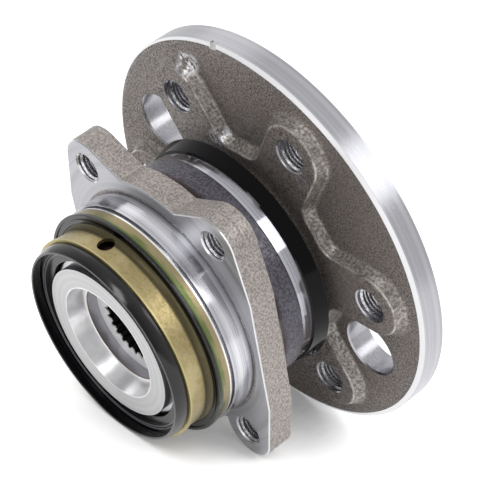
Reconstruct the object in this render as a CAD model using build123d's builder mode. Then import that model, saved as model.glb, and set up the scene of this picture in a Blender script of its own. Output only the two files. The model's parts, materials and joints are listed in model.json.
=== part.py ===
"""Driven-axle wheel hub bearing: flanged hub, double-row ball bearing and mounting ring.

The hub axis is the Y axis.  Y = 0 is the face that the wheel and brake disc sit
on, +Y points outboard to the wheel and -Y inboard to the axle, and +Z is up.
Axial stations are written as distances inboard of the wheel face, so a station
d lies at y = -d.  Millimetres throughout.
"""

import os
from math import cos, radians, sin, sqrt

from build123d import *

# ---------------------------------------------------------------- driving dimensions

# tapped wheel bolt holes and their paddle-shaped pads
wheel_bolt_circle_d = 130.0
wheel_bolt_count = 6
wheel_bolt_d = 14.0
wheel_bolt_mouth = 0.6
pad_height = 5.4
pad_wall = 8.6
pad_draft = 24.0
pad_root_width = 10.0
pad_root_fillet = 6.0
pad_root_lap = 3.0
pad_foot_fillet = 2.0
pad_edge_fillet = 1.0

# wheel flange of the hub
rim_margin = 7.05
wheel_flange_thickness = 10.3
rim_chamfer_width = 2.1
rim_chamfer_depth = 1.05
rim_notch_width = 3.6
rim_notch_depth = 2.4
rim_notch_angle = 98.7
hub_clock = 1.8

# socket access holes between the pads
access_hole_d = 24.2
access_circle_d = 126.1
access_hole_count = 2
access_hole_mouth = 0.6

# wheel pilot spigot on the outboard side
pilot_d = 83.8
pilot_height = 12.0
pilot_wall = 10.9
pilot_chamfer = 1.5
pilot_recess_depth = 24.0

# ball rows
ball_d = 12.7
ball_count = 15
ball_circle_r = 37.4
outboard_row_station = 43.8
row_spacing = 18.7
race_clearance = 0.15
cage_land_gap = 0.4
cage_rim = 1.25
cage_end_gap = 1.1
pocket_clearance = 0.2

# outer ring, in steps from the bore outwards
land_height = 2.8
bore_step = 0.55
ring_wall = 5.1
ground_band_width = 5.2
ground_band_step = 0.4
ground_band_runout = 0.6
end_round = 1.2
spigot_step = 0.5
spigot_length = 9.8
spigot_chamfer = 0.7
spigot_relief_width = 1.0
spigot_relief_depth = 0.6
land_step = 2.5

# mounting flange of the outer ring, bolted to the axle
mount_face_lead = 0.9
mount_flange_thickness = 11.6
mount_shoulder = 5.6
mount_side_cut = 1.4
mount_side_z = 27.0
mount_side_slope = 10.0
mount_spacing_x = 73.0
mount_spacing_z = 95.8
mount_bolt_d = 12.0
mount_bolt_mouth = 0.7
mount_lug_wall = 6.2
mount_back_cove = 7.0
mount_neck_round = 9.0
mount_web_slope = 23.0
mount_web_reach = 20.0
mount_web_round = 3.0
mount_edge_break = 0.5

# hub core and inboard inner ring
high_shoulder_depth = 1.8
low_shoulder_depth = 4.8
neck_fillet = 4.0
inner_ring_wall = 5.6
inner_ring_chamfer = 1.0
inner_ring_setback = 1.8
collar_overlap = 5.9
collar_height = 4.5
collar_round = 1.6

# bore of the hub, from the inboard end
bowl_wall = 2.6
bowl_taper = 1.7
bowl_depth = 7.6
bowl_round = 1.4
ledge_width = 1.6
counterbore_depth = 4.6
spline_teeth = 26
spline_tip_r = 14.7
spline_depth = 1.9
spline_length = 44.0
spline_gap_width = 2.4
spline_flank_angle = 72.0
spline_mouth_chamfer = 0.8
spline_relief = 0.6
spline_overcut = 0.4

# pressed steel and rubber seals of the bearing
sheet = 0.8
seal_depth = 5.4
seal_web_gap = 3.4
seal_running_gap = 0.35
lip_wall = 0.9
lip_length = 3.0
lip_edge = 2.2
lip_neck = 0.6
rubber_base = 1.0
rubber_bond = 0.8
rubber_setback = 1.6
garter_wire_r = 0.8
garter_station = 2.0
slinger_gap = 1.0
slinger_throw = 0.4
skirt_lap = 0.4
skirt_flare = 1.7
skirt_length = 5.9

# inboard sealing sleeve with the speed sensor hole
sleeve_sheet = 1.5
sleeve_step = 2.5
sleeve_length = 13.2
sleeve_cove = 3.0
sleeve_skirt_gap = 0.8
sleeve_hem_round = 0.6
sleeve_bead_height = 0.6
sleeve_bead_width = 1.6
sleeve_inturn = 2.7
sensor_hole_d = 6.9
bead_seal_lap = 0.7
bead_seal_wall = 0.9
bead_seal_foot = 2.8
bead_seal_round = 0.4
bead_groove_inset = 1.8
bead_groove_width = 0.8
bead_groove_depth = 0.5

# rubber face seal on the sleeve's inboard end
face_seal_setback = 0.6
face_seal_undercut = 0.7
face_seal_foot = 0.4
face_seal_lean = 1.2
face_seal_bulge = 0.4
face_seal_height = 5.7
face_seal_wall = 0.8
face_seal_web = 0.7
face_lip_gap = 2.4
face_ridge_count = 2
face_ridge_inset = 1.1
face_ridge_pitch = 1.1
face_ridge_width = 0.6
face_ridge_height = 0.6

# speed encoder
encoder_air_gap = 3.7
encoder_carrier_wall = 1.0
encoder_width = 6.6
encoder_end_gap = 0.4

# how far a cutting tool runs past what it cuts
overrun = 10.0

# ---------------------------------------------------------------- derived sizes

# radii, from the ball circle outwards and inwards
ball_r = ball_d / 2
race_r = ball_r + race_clearance
center_land_r = ball_circle_r + land_height
seal_bore_r = ball_circle_r + ball_r - bore_step
body_r = seal_bore_r + ring_wall
ground_band_r = body_r - ground_band_step
spigot_r = body_r + spigot_step
spigot_relief_r = spigot_r + spigot_relief_width
land_r = spigot_r - land_step
seal_track_r = ball_circle_r - high_shoulder_depth
low_shoulder_r = ball_circle_r - low_shoulder_depth
cage_inner_r = seal_track_r + cage_land_gap
cage_outer_r = center_land_r - cage_land_gap
journal_r = low_shoulder_r - inner_ring_wall
collar_r = journal_r + collar_overlap
bowl_mouth_r = journal_r - bowl_wall
bowl_foot_r = bowl_mouth_r - bowl_taper
counterbore_r = bowl_foot_r - ledge_width
spline_root_r = spline_tip_r + spline_depth
relief_r = spline_root_r + spline_relief
pad_foot_r = wheel_bolt_d / 2 + pad_wall
pad_root_r = seal_track_r + pad_root_width
hub_root_r = pad_root_r - neck_fillet
flange_r = wheel_bolt_circle_d / 2 + pad_foot_r + rim_margin
rim_edge_r = flange_r - rim_chamfer_width
pilot_bore_r = pilot_d / 2 - pilot_wall
mount_core_r = spigot_r + mount_shoulder
mount_side_x = mount_core_r - mount_side_cut
mount_lug_r = mount_bolt_d / 2 + mount_lug_wall
mount_blank_r = mount_core_r + 2 * mount_lug_r
skirt_root_r = body_r + skirt_lap
skirt_edge_r = skirt_root_r + skirt_flare
seal_case_r = seal_bore_r - sheet
slinger_r = seal_case_r - slinger_gap
sleeve_skirt_r = land_r + sleeve_sheet
sleeve_r = land_r - sleeve_step
sleeve_inner_r = sleeve_r - sleeve_sheet
sleeve_bead_r = sleeve_r + sleeve_bead_height
bead_foot_r = sleeve_skirt_r - bead_seal_foot
sleeve_inturn_r = sleeve_inner_r - sleeve_inturn
face_seal_root_r = sleeve_r - face_seal_setback
face_undercut_r = face_seal_root_r - face_seal_undercut
face_seal_r = face_seal_root_r - face_seal_lean
face_crest_r = face_seal_r - face_seal_wall
face_lip_r = collar_r + face_lip_gap
encoder_r = sleeve_inner_r - encoder_air_gap
carrier_r = seal_track_r + encoder_carrier_wall

# stations, from the wheel face inboard
cast_face = wheel_flange_thickness
pad_face = cast_face + pad_height
recess_floor = pilot_recess_depth - pilot_height
cage_width = ball_d + 2 * cage_rim
ring_overhang = cage_width / 2 + cage_end_gap + seal_depth
inboard_row_station = outboard_row_station + row_spacing
outboard_end = outboard_row_station - ring_overhang
ring_end = inboard_row_station + ring_overhang
mount_face = inboard_row_station - mount_face_lead
mount_back = mount_face - mount_flange_thickness
spigot_end = mount_face + spigot_length
shoulder_end = ring_end + sleeve_sheet
bead_end = shoulder_end + bead_seal_wall
sleeve_end = ring_end + sleeve_length
face_seal_floor = sleeve_end + face_seal_web
face_seal_crest = sleeve_end + face_seal_height
inner_ring_start = (outboard_row_station + inboard_row_station) / 2
inner_ring_end = sleeve_end - inner_ring_setback
collar_face = inner_ring_end + collar_height
bowl_floor = collar_face - bowl_depth
spline_start = bowl_floor - counterbore_depth
spline_end = spline_start - spline_length
encoder_end = inner_ring_end - inner_ring_chamfer - encoder_end_gap
encoder_start = encoder_end - encoder_width
sensor_station = (encoder_start + encoder_end) / 2

# angles about the hub axis
pad_angles = [hub_clock + 360 / wheel_bolt_count * i for i in range(wheel_bolt_count)]
access_start = hub_clock - 180 / wheel_bolt_count


def across(station):
    """Plane square to the hub axis at a station, looking inboard, with +Z up."""
    return Plane(origin=(0, -station, 0), x_dir=(1, 0, 0), z_dir=(0, -1, 0))


def race_groove(station):
    """Full groove that a ball row rolls in, with its running clearance."""
    with BuildPart(mode=Mode.PRIVATE) as groove:
        with BuildSketch(Plane.XY):
            with Locations((ball_circle_r, -station)):
                Circle(race_r)
        revolve(axis=Axis.Y)
    return groove.part


def turned(*points):
    """Closed turned section in (radius, station) corners."""
    return Polyline(*[(r, -d) for r, d in points], close=True)


def on_station(edge, station):
    """True where an edge lies flat at a station."""
    box = edge.bounding_box()
    return abs(box.min.Y + station) < 0.01 and abs(box.max.Y + station) < 0.01


def reach(edge):
    """Largest distance of an edge's ends and middle from the hub axis."""
    return max(sqrt(p.X**2 + p.Z**2) for p in (edge @ 0, edge @ 0.5, edge @ 1))


def hole_mouths(edges, station, radius):
    """Round mouths of holes of one radius at a station."""
    circles = edges.filter_by(GeomType.CIRCLE)
    return circles.filter_by(lambda e: on_station(e, station) and abs(e.radius - radius) < 0.01)


os.makedirs("parts", exist_ok=True)

# ---------------------------------------------------------------- outer ring

with BuildPart() as outer_ring:
    with BuildSketch(Plane.XY):
        with BuildLine():
            turned(
                (seal_bore_r, outboard_end),
                (ground_band_r, outboard_end),
                (ground_band_r, outboard_end + ground_band_width),
                (body_r, outboard_end + ground_band_width + ground_band_runout),
                (body_r, mount_back),
                (mount_blank_r, mount_back),
                (mount_blank_r, mount_face),
                (spigot_relief_r, mount_face),
                (spigot_relief_r, mount_face - spigot_relief_depth),
                (spigot_r, mount_face - spigot_relief_depth),
                (spigot_r, spigot_end),
                (land_r, spigot_end),
                (land_r, ring_end),
                (seal_bore_r, ring_end),
                (seal_bore_r, inboard_row_station + ball_r / 2),
                (center_land_r, inboard_row_station),
                (center_land_r, outboard_row_station),
                (seal_bore_r, outboard_row_station - ball_r / 2),
            )
        profile = make_face()
        corners = profile.vertices()
        fillet(corners.sort_by_distance((body_r, -mount_back)).first, mount_back_cove)
        fillet(corners.sort_by_distance((ground_band_r, -outboard_end)).first, end_round)
        chamfer(corners.sort_by_distance((spigot_r, -spigot_end)).first, spigot_chamfer)
    revolve(axis=Axis.Y)
    with BuildSketch(across(0)) as outline:
        Circle(mount_core_r)
        Rectangle(2 * mount_side_x, 2 * mount_core_r, mode=Mode.INTERSECT)
        Rectangle(2 * mount_side_x, 2 * mount_side_z)
        with GridLocations(mount_spacing_x, mount_spacing_z, 2, 2):
            Circle(mount_lug_r)
        lug_out = mount_lug_r * cos(radians(mount_side_slope))
        lug_up = mount_lug_r * sin(radians(mount_side_slope))
        for side_x in (-1, 1):
            for side_z in (-1, 1):
                hole_x = side_x * mount_spacing_x / 2
                hole_z = side_z * mount_spacing_z / 2
                with BuildLine():
                    Polyline(
                        (side_x * mount_side_x, side_z * mount_side_z),
                        (hole_x + side_x * lug_out, hole_z + side_z * lug_up),
                        (hole_x, hole_z),
                        (hole_x - side_x * mount_lug_r / 2, side_z * mount_side_z),
                        close=True,
                    )
                make_face()
        # webs that widen the two upper lugs towards each other
        slope = radians(mount_web_slope)
        for side_x in (-1, 1):
            hole_x = side_x * mount_spacing_x / 2
            hole_z = mount_spacing_z / 2
            web_x = hole_x - side_x * mount_lug_r * sin(slope)
            web_z = hole_z + mount_lug_r * cos(slope)
            with BuildLine():
                Polyline(
                    (hole_x, hole_z),
                    (web_x, web_z),
                    (web_x - side_x * mount_web_reach * cos(slope), web_z - mount_web_reach * sin(slope)),
                    (hole_x / 2, hole_z / 2),
                    close=True,
                )
            make_face()
        neck_x = mount_spacing_x / 2 - mount_lug_r / 2
        fillet(outline.vertices().filter_by(lambda v: abs(v.X) < neck_x and v.Z < 0), mount_neck_round)
        fillet(outline.vertices().filter_by(lambda v: abs(v.X) < neck_x and v.Z > 0), mount_web_round)
    extrude(amount=face_seal_crest + overrun, mode=Mode.INTERSECT)
    face_rim = edges().filter_by(lambda e: on_station(e, mount_face) and reach(e) > spigot_relief_r + mount_edge_break)
    chamfer(face_rim, mount_edge_break)
    with Locations(across(mount_face)):
        with GridLocations(mount_spacing_x, mount_spacing_z, 2, 2):
            Hole(mount_bolt_d / 2)
    chamfer(hole_mouths(edges(), mount_face, mount_bolt_d / 2), mount_bolt_mouth)
    add(race_groove(outboard_row_station), mode=Mode.SUBTRACT)
    add(race_groove(inboard_row_station), mode=Mode.SUBTRACT)

outer_ring.part.label = "outer_ring"
export_step(outer_ring.part, "parts/outer_ring.step")

# ---------------------------------------------------------------- flanged hub

with BuildPart() as flanged_hub:
    with BuildSketch(Plane.XY):
        with BuildLine():
            turned(
                (pilot_bore_r, -pilot_height),
                (pilot_d / 2, -pilot_height),
                (pilot_d / 2, 0),
                (flange_r, 0),
                (flange_r, cast_face - rim_chamfer_depth),
                (rim_edge_r, cast_face),
                (hub_root_r, cast_face),
                (hub_root_r, pad_face),
                (seal_track_r, pad_face),
                (seal_track_r, outboard_row_station),
                (low_shoulder_r, outboard_row_station),
                (low_shoulder_r, inner_ring_start),
                (journal_r, inner_ring_start),
                (journal_r, inner_ring_end),
                (collar_r, inner_ring_end),
                (collar_r, collar_face),
                (bowl_mouth_r, collar_face),
                (bowl_foot_r, bowl_floor),
                (counterbore_r, bowl_floor),
                (counterbore_r, spline_start),
                (spline_tip_r, spline_start),
                (spline_tip_r, spline_end),
                (relief_r, spline_end),
                (relief_r, recess_floor),
                (pilot_bore_r, recess_floor),
            )
        profile = make_face()
        corners = profile.vertices()
        chamfer(corners.sort_by_distance((pilot_d / 2, pilot_height)).first, pilot_chamfer)
        fillet(corners.sort_by_distance((seal_track_r, -pad_face)).first, neck_fillet)
        fillet(corners.sort_by_distance((collar_r, -collar_face)).first, collar_round)
        fillet(corners.sort_by_distance((bowl_mouth_r, -collar_face)).first, bowl_round)
        chamfer(corners.sort_by_distance((spline_tip_r, -spline_start)).first, spline_mouth_chamfer)
    revolve(axis=Axis.Y)
    with BuildSketch(across(cast_face)) as star:
        Circle(pad_root_r)
        for angle in pad_angles:
            with Locations(Rotation(0, 0, angle)):
                with Locations((wheel_bolt_circle_d / 4, 0)):
                    Rectangle(wheel_bolt_circle_d / 2, 2 * pad_foot_r)
        with PolarLocations(wheel_bolt_circle_d / 2, wheel_bolt_count, start_angle=hub_clock):
            Circle(pad_foot_r)
        valleys = star.vertices().filter_by(lambda v: sqrt(v.X**2 + v.Z**2) < wheel_bolt_circle_d / 2 - 1)
        fillet(valleys, pad_root_fillet)
        Circle(hub_root_r - pad_root_lap, mode=Mode.SUBTRACT)
    extrude(amount=pad_height, taper=pad_draft)
    foot_edges = edges().filter_by(lambda e: on_station(e, cast_face) and reach(e) < rim_edge_r - 1)
    fillet(foot_edges, pad_foot_fillet)
    neck_top_r = seal_track_r + neck_fillet
    top_edges = edges().filter_by(lambda e: on_station(e, pad_face) and reach(e) > neck_top_r + 1)
    fillet(top_edges, pad_edge_fillet)
    add(race_groove(outboard_row_station), mode=Mode.SUBTRACT)
    with Locations(across(pad_face)):
        with PolarLocations(wheel_bolt_circle_d / 2, wheel_bolt_count, start_angle=hub_clock):
            Hole(wheel_bolt_d / 2)
        with PolarLocations(access_circle_d / 2, access_hole_count, start_angle=access_start):
            Hole(access_hole_d / 2)
    chamfer(hole_mouths(edges(), pad_face, wheel_bolt_d / 2), wheel_bolt_mouth)
    chamfer(hole_mouths(edges(), cast_face, access_hole_d / 2), access_hole_mouth)
    with BuildSketch(across(spline_start)):
        with PolarLocations((spline_root_r + spline_tip_r - spline_overcut) / 2, spline_teeth):
            Trapezoid(spline_gap_width, spline_depth + spline_overcut, spline_flank_angle, rotation=-90)
    extrude(amount=-spline_length, mode=Mode.SUBTRACT)
    with BuildSketch(across(cast_face - rim_notch_depth)):
        with Locations(Rotation(0, 0, rim_notch_angle)):
            with Locations((flange_r, 0)):
                Rectangle(2 * rim_notch_depth, rim_notch_width)
    extrude(amount=2 * rim_notch_depth, mode=Mode.SUBTRACT)

flanged_hub.part.label = "flanged_hub"
export_step(flanged_hub.part, "parts/flanged_hub.step")

# ---------------------------------------------------------------- inboard inner ring

with BuildPart() as inboard_inner_ring:
    with BuildSketch(Plane.XY):
        with BuildLine():
            turned(
                (journal_r, inner_ring_start),
                (low_shoulder_r, inner_ring_start),
                (low_shoulder_r, inboard_row_station),
                (seal_track_r, inboard_row_station),
                (seal_track_r, inner_ring_end),
                (journal_r, inner_ring_end),
            )
        profile = make_face()
        rim = profile.vertices().sort_by_distance((seal_track_r, -inner_ring_end)).first
        chamfer(rim, inner_ring_chamfer)
    revolve(axis=Axis.Y)
    add(race_groove(inboard_row_station), mode=Mode.SUBTRACT)

inboard_inner_ring.part.label = "inboard_inner_ring"
export_step(inboard_inner_ring.part, "parts/inboard_inner_ring.step")

# ---------------------------------------------------------------- ball rows and cages

rows = {"outboard": outboard_row_station, "inboard": inboard_row_station}

for side, station in rows.items():
    with BuildPart(across(station)) as balls:
        with PolarLocations(ball_circle_r, ball_count):
            Sphere(ball_r)

    with BuildPart() as cage:
        with BuildSketch(Plane.XY):
            with Locations(((cage_inner_r + cage_outer_r) / 2, -station)):
                Rectangle(cage_outer_r - cage_inner_r, cage_width)
        revolve(axis=Axis.Y)
        with Locations(across(station)):
            with PolarLocations(ball_circle_r, ball_count):
                Cylinder(ball_r + pocket_clearance, ball_d, rotation=(0, 90, 0), mode=Mode.SUBTRACT)

    balls.part.label = f"{side}_balls"
    cage.part.label = f"{side}_cage"
    export_step(balls.part, f"parts/{side}_balls.step")
    export_step(cage.part, f"parts/{side}_cage.step")

# ---------------------------------------------------------------- seals

# Each seal is a pressed case in the outer ring, a rubber lip moulded into it, a
# garter spring round the lip and a slinger on the turning side.  "out" is +1
# where going out of the bearing means a larger station, and -1 where it means a
# smaller one.  The outboard case also carries a flared skirt over the ring's end.
ends = {"outboard": (outboard_end, -1), "inboard": (ring_end, 1)}
web_r = seal_track_r + seal_web_gap
shelf_r = web_r + lip_wall
lip_r = seal_track_r + sheet + seal_running_gap
neck_r = lip_r + lip_wall
bond_r = seal_case_r - rubber_bond

for side, (end, out) in ends.items():
    floor = end - out * seal_depth
    back = floor + out * sheet
    throw = end + out * slinger_throw

    with BuildPart() as seal_case:
        with BuildSketch(Plane.XY):
            with BuildLine():
                turned(
                    (web_r, floor),
                    (seal_bore_r, floor),
                    (seal_bore_r, end),
                    (seal_case_r, end),
                    (seal_case_r, back),
                    (web_r, back),
                )
            make_face()
            if side == "outboard":
                with BuildLine():
                    turned(
                        (seal_case_r, end),
                        (skirt_root_r, end),
                        (skirt_edge_r, end - skirt_length),
                        (skirt_edge_r - sheet, end - skirt_length),
                        (skirt_root_r - sheet, end - sheet),
                        (seal_case_r, end - sheet),
                    )
                make_face()
        revolve(axis=Axis.Y)

    with BuildPart() as garter_spring:
        with BuildSketch(Plane.XY):
            with Locations((shelf_r + garter_wire_r, -back - out * garter_station)):
                Circle(garter_wire_r)
        revolve(axis=Axis.Y)

    with BuildPart() as seal_lip:
        with BuildSketch(Plane.XY):
            with BuildLine():
                turned(
                    (seal_case_r, back),
                    (seal_case_r, end - out * rubber_setback),
                    (bond_r, end - out * rubber_setback),
                    (bond_r, back + out * rubber_base),
                    (shelf_r, back + out * rubber_base),
                    (shelf_r, back + out * lip_length),
                    (neck_r, back + out * lip_length),
                    (lip_r, back + out * lip_edge),
                    (neck_r, back + out * lip_neck),
                    (neck_r, back),
                )
            make_face()
        revolve(axis=Axis.Y)

    with BuildPart() as slinger:
        with BuildSketch(Plane.XY):
            with BuildLine():
                turned(
                    (seal_track_r, floor),
                    (seal_track_r + sheet, floor),
                    (seal_track_r + sheet, throw - out * sheet),
                    (slinger_r, throw - out * sheet),
                    (slinger_r, throw),
                    (seal_track_r, throw),
                )
            make_face()
        revolve(axis=Axis.Y)

    seal_case.part.label = f"{side}_seal_case"
    seal_lip.part.label = f"{side}_seal_lip"
    garter_spring.part.label = f"{side}_garter_spring"
    slinger.part.label = f"{side}_slinger"
    export_step(seal_case.part, f"parts/{side}_seal_case.step")
    export_step(seal_lip.part, f"parts/{side}_seal_lip.step")
    export_step(garter_spring.part, f"parts/{side}_garter_spring.step")
    export_step(slinger.part, f"parts/{side}_slinger.step")

# ---------------------------------------------------------------- sealing sleeve

with BuildPart() as sealing_sleeve:
    with BuildSketch(Plane.XY):
        with BuildLine():
            turned(
                (land_r, spigot_end + sleeve_skirt_gap),
                (sleeve_skirt_r, spigot_end + sleeve_skirt_gap),
                (sleeve_skirt_r, shoulder_end),
                (sleeve_r, shoulder_end),
                (sleeve_r, sleeve_end - sleeve_bead_width),
                (sleeve_bead_r, sleeve_end - sleeve_bead_width),
                (sleeve_bead_r, sleeve_end),
                (sleeve_inturn_r, sleeve_end),
                (sleeve_inturn_r, sleeve_end - sheet),
                (sleeve_inner_r, sleeve_end - sheet),
                (sleeve_inner_r, ring_end),
                (land_r, ring_end),
            )
        profile = make_face()
        corners = profile.vertices()
        fillet(corners.sort_by_distance((sleeve_r, -shoulder_end)).first, sleeve_cove)
        fillet(corners.sort_by_distance((sleeve_inner_r, -ring_end)).first, sleeve_sheet)
        hem = corners.sort_by_distance((sleeve_skirt_r, -spigot_end - sleeve_skirt_gap)).first
        fillet(hem, sleeve_hem_round)
        bead_front = corners.sort_by_distance((sleeve_bead_r, -sleeve_end)).first
        bead_back = corners.sort_by_distance((sleeve_bead_r, sleeve_bead_width - sleeve_end)).first
        fillet([bead_front, bead_back], 0.45 * sleeve_bead_height)
    revolve(axis=Axis.Y)
    with BuildSketch(Plane.XY.offset(sleeve_inner_r - overrun / 2)):
        with Locations((0, -sensor_station)):
            Circle(sensor_hole_d / 2)
    extrude(amount=overrun + sleeve_sheet, mode=Mode.SUBTRACT)

sealing_sleeve.part.label = "sealing_sleeve"
export_step(sealing_sleeve.part, "parts/sealing_sleeve.step")

# grooved rubber ring that is moulded over the sleeve's shoulder and seals it in the axle
with BuildPart() as sleeve_seal_ring:
    with BuildSketch(Plane.XY):
        with BuildLine():
            turned(
                (bead_foot_r, shoulder_end - bead_seal_lap),
                (spigot_r, shoulder_end - bead_seal_lap),
                (spigot_r, bead_end),
                (bead_foot_r, bead_end),
            )
        profile = make_face()
        fillet(profile.vertices().group_by(Axis.X)[-1], bead_seal_round)
        with Locations((spigot_r - bead_groove_inset, -bead_end)):
            Rectangle(bead_groove_width, 2 * bead_groove_depth, mode=Mode.SUBTRACT)
    revolve(axis=Axis.Y)
    add(sealing_sleeve.part, mode=Mode.SUBTRACT)

sleeve_seal_ring.part.label = "sleeve_seal_ring"
export_step(sleeve_seal_ring.part, "parts/sleeve_seal_ring.step")

# ---------------------------------------------------------------- rubber face seal

with BuildPart() as inboard_face_seal:
    with BuildSketch(Plane.XY) as section:
        with BuildLine():
            outside = SagittaArc(
                (face_seal_root_r, -sleeve_end - face_seal_foot),
                (face_seal_r, -face_seal_crest),
                face_seal_bulge,
            )
            Polyline(
                outside @ 1,
                (face_crest_r, -face_seal_crest),
                (face_crest_r, -face_seal_floor),
                (face_lip_r, -face_seal_floor),
                (face_lip_r, -sleeve_end),
                (face_undercut_r, -sleeve_end),
                (face_undercut_r, -sleeve_end - face_seal_foot),
                outside @ 0,
            )
        profile = make_face()
        fillet(profile.vertices().group_by(Axis.Y)[0], 0.45 * face_seal_wall)
        ridge_middle_r = face_crest_r - face_ridge_inset - face_ridge_pitch * (face_ridge_count - 1) / 2
        with Locations((ridge_middle_r, -face_seal_floor)):
            with GridLocations(face_ridge_pitch, 0, face_ridge_count, 1):
                Rectangle(face_ridge_width, 2 * face_ridge_height)
    revolve(axis=Axis.Y)

inboard_face_seal.part.label = "inboard_face_seal"
export_step(inboard_face_seal.part, "parts/inboard_face_seal.step")

# ---------------------------------------------------------------- speed encoder

with BuildPart() as encoder_carrier:
    with BuildSketch(Plane.XY):
        with BuildLine():
            turned(
                (seal_track_r, encoder_start - encoder_carrier_wall),
                (encoder_r, encoder_start - encoder_carrier_wall),
                (encoder_r, encoder_start),
                (carrier_r, encoder_start),
                (carrier_r, encoder_end),
                (seal_track_r, encoder_end),
            )
        make_face()
    revolve(axis=Axis.Y)

encoder_carrier.part.label = "encoder_carrier"
export_step(encoder_carrier.part, "parts/encoder_carrier.step")

with BuildPart() as encoder_ring:
    with BuildSketch(Plane.XY):
        with BuildLine():
            turned(
                (carrier_r, encoder_start),
                (encoder_r, encoder_start),
                (encoder_r, encoder_end),
                (carrier_r, encoder_end),
            )
        make_face()
    revolve(axis=Axis.Y)

encoder_ring.part.label = "encoder_ring"
export_step(encoder_ring.part, "parts/encoder_ring.step")
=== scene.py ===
"""Finishes, cut threads and studio stage of a driven-axle wheel hub bearing.

The bearing's solids arrive finished from the frame, with the hub axis on Y and the
wheel face at Y = 0.  This file gives every one of them its surface, adds the threads
of the ten tapped holes, and sets the bearing down in a white studio.  Lengths are
metres, as in the frame; a station is the distance inboard from the wheel face.
"""

import json
from math import atan2, cos, hypot, pi, radians, sin
from types import SimpleNamespace

import bpy
from mathutils import Euler, Matrix, Vector


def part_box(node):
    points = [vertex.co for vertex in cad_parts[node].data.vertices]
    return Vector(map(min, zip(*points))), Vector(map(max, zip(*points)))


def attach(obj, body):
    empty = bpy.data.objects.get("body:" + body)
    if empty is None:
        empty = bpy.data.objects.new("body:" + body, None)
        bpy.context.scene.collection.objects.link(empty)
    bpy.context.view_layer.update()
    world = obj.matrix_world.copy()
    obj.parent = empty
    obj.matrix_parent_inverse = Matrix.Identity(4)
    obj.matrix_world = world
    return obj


bl_info = {
    "name": "Wheel Hub Bearing",
    "version": (1, 0, 0),
    "blender": (4, 5, 0),
    "location": "3D View > Sidebar > Hub Bearing",
    "description": "Finishes, threads and studio stage of a driven-axle wheel hub bearing",
    "category": "Object",
}

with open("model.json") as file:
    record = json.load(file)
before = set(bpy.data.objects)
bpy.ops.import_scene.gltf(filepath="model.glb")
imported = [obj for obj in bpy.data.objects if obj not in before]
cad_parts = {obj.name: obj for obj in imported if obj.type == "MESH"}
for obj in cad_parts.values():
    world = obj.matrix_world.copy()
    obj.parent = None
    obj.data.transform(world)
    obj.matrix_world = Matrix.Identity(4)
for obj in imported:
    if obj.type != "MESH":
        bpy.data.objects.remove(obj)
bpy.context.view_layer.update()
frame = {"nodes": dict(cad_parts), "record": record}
mounts = {m["name"]: m for m in frame["record"]["mounts"]}

MM = 0.001

# ------------------------------------------------------------------ sizes read from the frame

hub_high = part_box("flanged_hub")[1]
ring_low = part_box("outer_ring")[0]
sleeve_low, sleeve_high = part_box("sealing_sleeve")
bead_low, bead_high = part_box("sleeve_seal_ring")
seal_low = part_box("inboard_face_seal")[0]
wheel_bolts = mounts["wheel_bolts"]["dims"]
axle_bolts = mounts["axle_bolts"]["dims"]
access_hole = mounts["socket_access_1"]

WHEEL_BOLT_R = wheel_bolts["hole_r_mm"] * MM
WHEEL_BOLT_CIRCLE_R = wheel_bolts["pcd_mm"] * MM / 2
WHEEL_BOLT_COUNT = wheel_bolts["count"]
AXLE_BOLT_R = axle_bolts["hole_r_mm"] * MM
AXLE_BOLT_X = axle_bolts["spacing_x_mm"] * MM / 2
AXLE_BOLT_Z = axle_bolts["spacing_y_mm"] * MM / 2
MOUNT_FACE = -mounts["axle_face"]["pos_m"][1]
SPIGOT_R = mounts["axle_spigot"]["dims"]["r_mm"] * MM
COUNTERBORE_R = mounts["shaft_counterbore"]["dims"]["r_mm"] * MM
ACCESS_COUNT = 2
ACCESS_R = access_hole["dims"]["r_mm"] * MM
ACCESS_CIRCLE_R = hypot(access_hole["pos_m"][0], access_hole["pos_m"][2])
ACCESS_ANGLE = atan2(access_hole["pos_m"][2], access_hole["pos_m"][0])
HUB_CLOCK = ACCESS_ANGLE + pi / WHEEL_BOLT_COUNT
WHEEL_FLANGE_R = hub_high.z
SLEEVE_START = -sleeve_high.y
SLEEVE_END = -sleeve_low.y
BEAD_START = -bead_high.y
BEAD_END = -bead_low.y
SEAL_CREST = -seal_low.y

# ------------------------------------------------------------------ sizes of the solids

# The hub, from the wheel flange inboard.
CAST_FACE = 10.3 * MM
RIM_CHAMFER = 2.1 * MM
RIM_CHAMFER_R = WHEEL_FLANGE_R - RIM_CHAMFER
PAD_FACE = 15.7 * MM
HUB_BARREL_R = 36.0 * MM
HUB_BARREL_START = 16.0 * MM
HUB_BORE_R = 33.5 * MM
COLLAR_R = 33.2 * MM
COLLAR_START = 88.2 * MM
LEDGE = 84.9 * MM
LEDGE_R = COUNTERBORE_R + 1.6 * MM
SPLINE_START = 80.3 * MM

# The outer ring.
GROUND_BAND_R = 43.2 * MM
GROUND_BAND_END = 35.3 * MM
MOUNT_THICKNESS = 11.6 * MM
MOUNT_BACK = MOUNT_FACE - MOUNT_THICKNESS
MOUNT_EDGE = 0.5 * MM
RING_BORE_R = 45.7 * MM

# The sleeve and its seals.
SLEEVE_COVE = 3.0 * MM
SLEEVE_BEAD_WIDTH = 1.6 * MM
SEAL_FLOOR = SLEEVE_END + 0.7 * MM
SEAL_RIDGE_R = 41.0 * MM

# ------------------------------------------------------------------ limits of the looks

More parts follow.
